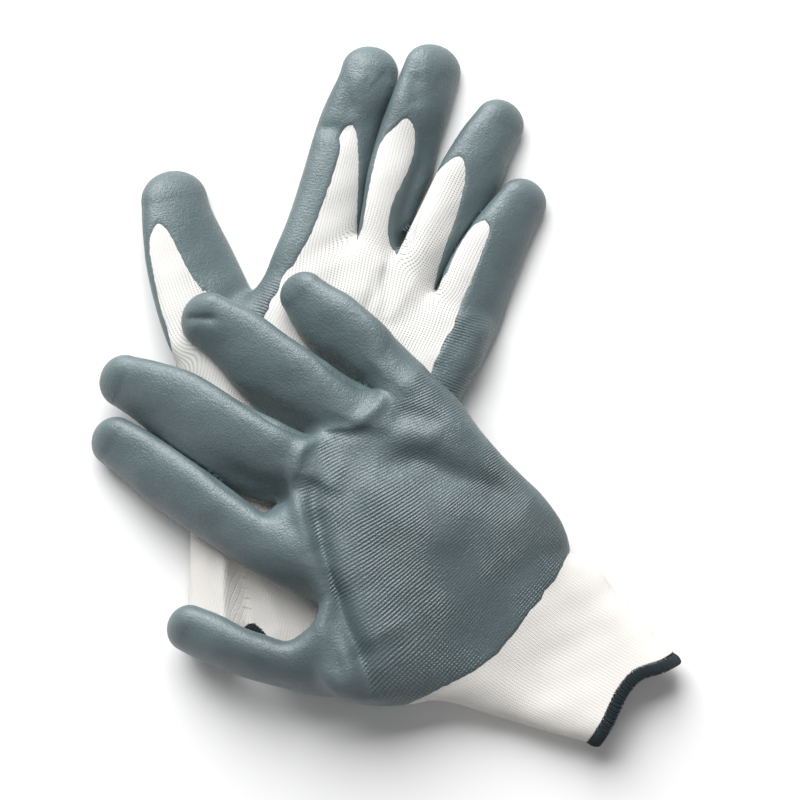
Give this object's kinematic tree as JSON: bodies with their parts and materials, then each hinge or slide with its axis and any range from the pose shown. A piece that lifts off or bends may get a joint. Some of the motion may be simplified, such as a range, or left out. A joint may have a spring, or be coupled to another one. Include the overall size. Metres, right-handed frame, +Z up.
{
  "type": "pair of dipped work gloves",
  "caption": "Pair of knit work gloves with a grey dipped palm, lying crossed, one palm down and one palm up, with digits that fold.",
  "frame": {"origin": "on the table under the middle of the pair's bounding box", "axes": "+Y the way the right glove's fingers point, +X across it to its little-finger side, +Z up from the table"},
  "size_m": [0.2308, 0.2854, 0.0412],
  "materials": {
    "knit_white": "fine knit, matte",
    "nitrile_grey": "grainy satin",
    "cuff_rib": "ribbed knit, matte",
    "elastic_yarn": "matte",
    "hem_thread": "overlock thread"
  },
  "bodies": {
    "right_glove": {"right_palm_liner": "knit_white", "right_palm_coating": "nitrile_grey", "right_cuff": "cuff_rib", "right_cuff_elastic": "elastic_yarn", "right_cuff_hem": "hem_thread"},
    "left_glove": {"left_palm_liner": "knit_white", "left_palm_coating": "nitrile_grey", "left_cuff": "cuff_rib", "left_cuff_elastic": "elastic_yarn", "left_cuff_hem": "hem_thread"},
    "right_thumb": {"right_thumb_liner": "knit_white", "right_thumb_coating": "nitrile_grey"},
    "right_index": {"right_index_liner": "knit_white", "right_index_coating": "nitrile_grey"},
    "right_middle": {"right_middle_liner": "knit_white", "right_middle_coating": "nitrile_grey"},
    "right_ring": {"right_ring_liner": "knit_white", "right_ring_coating": "nitrile_grey"},
    "right_little": {"right_little_liner": "knit_white", "right_little_coating": "nitrile_grey"},
    "left_thumb": {"left_thumb_liner": "knit_white", "left_thumb_coating": "nitrile_grey"},
    "left_index": {"left_index_liner": "knit_white", "left_index_coating": "nitrile_grey"},
    "left_middle": {"left_middle_liner": "knit_white", "left_middle_coating": "nitrile_grey"},
    "left_ring": {"left_ring_liner": "knit_white", "left_ring_coating": "nitrile_grey"},
    "left_little": {"left_little_liner": "knit_white", "left_little_coating": "nitrile_grey"}
  },
  "joints": [
    {"name": "left_glove_lift", "type": "slide", "parent": "right_glove", "child": "left_glove", "axis": [0, 0, 1], "range_m": [0, 0.1]},
    {"name": "right_thumb_fold", "type": "hinge", "parent": "right_glove", "child": "right_thumb", "pos_m": [-0.07108, 0.04603, 0.01708], "axis": [0.9095, 0.4158, 0], "range_deg": [0, 60]},
    {"name": "right_index_fold", "type": "hinge", "parent": "right_glove", "child": "right_index", "pos_m": [-0.02508, 0.06003, 0.01658], "axis": [0.9957, -0.0922, 0], "range_deg": [0, 75]},
    {"name": "right_middle_fold", "type": "hinge", "parent": "right_glove", "child": "right_middle", "pos_m": [0.00092, 0.06503, 0.01608], "axis": [0.9864, -0.1644, 0], "range_deg": [0, 75]},
    {"name": "right_ring_fold", "type": "hinge", "parent": "right_glove", "child": "right_ring", "pos_m": [0.01852, 0.05623, 0.01608], "axis": [0.925, -0.3799, 0], "range_deg": [0, 75]},
    {"name": "right_little_fold", "type": "hinge", "parent": "right_glove", "child": "right_little", "pos_m": [0.03652, 0.03963, 0.01558], "axis": [0.8587, -0.5125, 0], "range_deg": [0, 75]},
    {"name": "left_thumb_fold", "type": "hinge", "parent": "left_glove", "child": "left_thumb", "pos_m": [-0.04008, -0.10397, 0.03294], "axis": [0.0454, 0.999, 0], "range_deg": [0, 60]},
    {"name": "left_index_fold", "type": "hinge", "parent": "left_glove", "child": "left_index", "pos_m": [-0.04888, -0.05597, 0.03594], "axis": [0.5171, 0.8559, 0], "range_deg": [0, 75]},
    {"name": "left_middle_fold", "type": "hinge", "parent": "left_glove", "child": "left_middle", "pos_m": [-0.03608, -0.02697, 0.03944], "axis": [0.5176, 0.8556, 0], "range_deg": [0, 75]},
    {"name": "left_ring_fold", "type": "hinge", "parent": "left_glove", "child": "left_ring", "pos_m": [-0.01408, -0.00417, 0.03993], "axis": [0.5566, 0.8308, 0], "range_deg": [0, 75]},
    {"name": "left_little_fold", "type": "hinge", "parent": "left_glove", "child": "left_little", "pos_m": [0.00512, 0.01143, 0.03888], "axis": [0.6481, 0.7615, 0], "range_deg": [0, 75]}
  ]
}
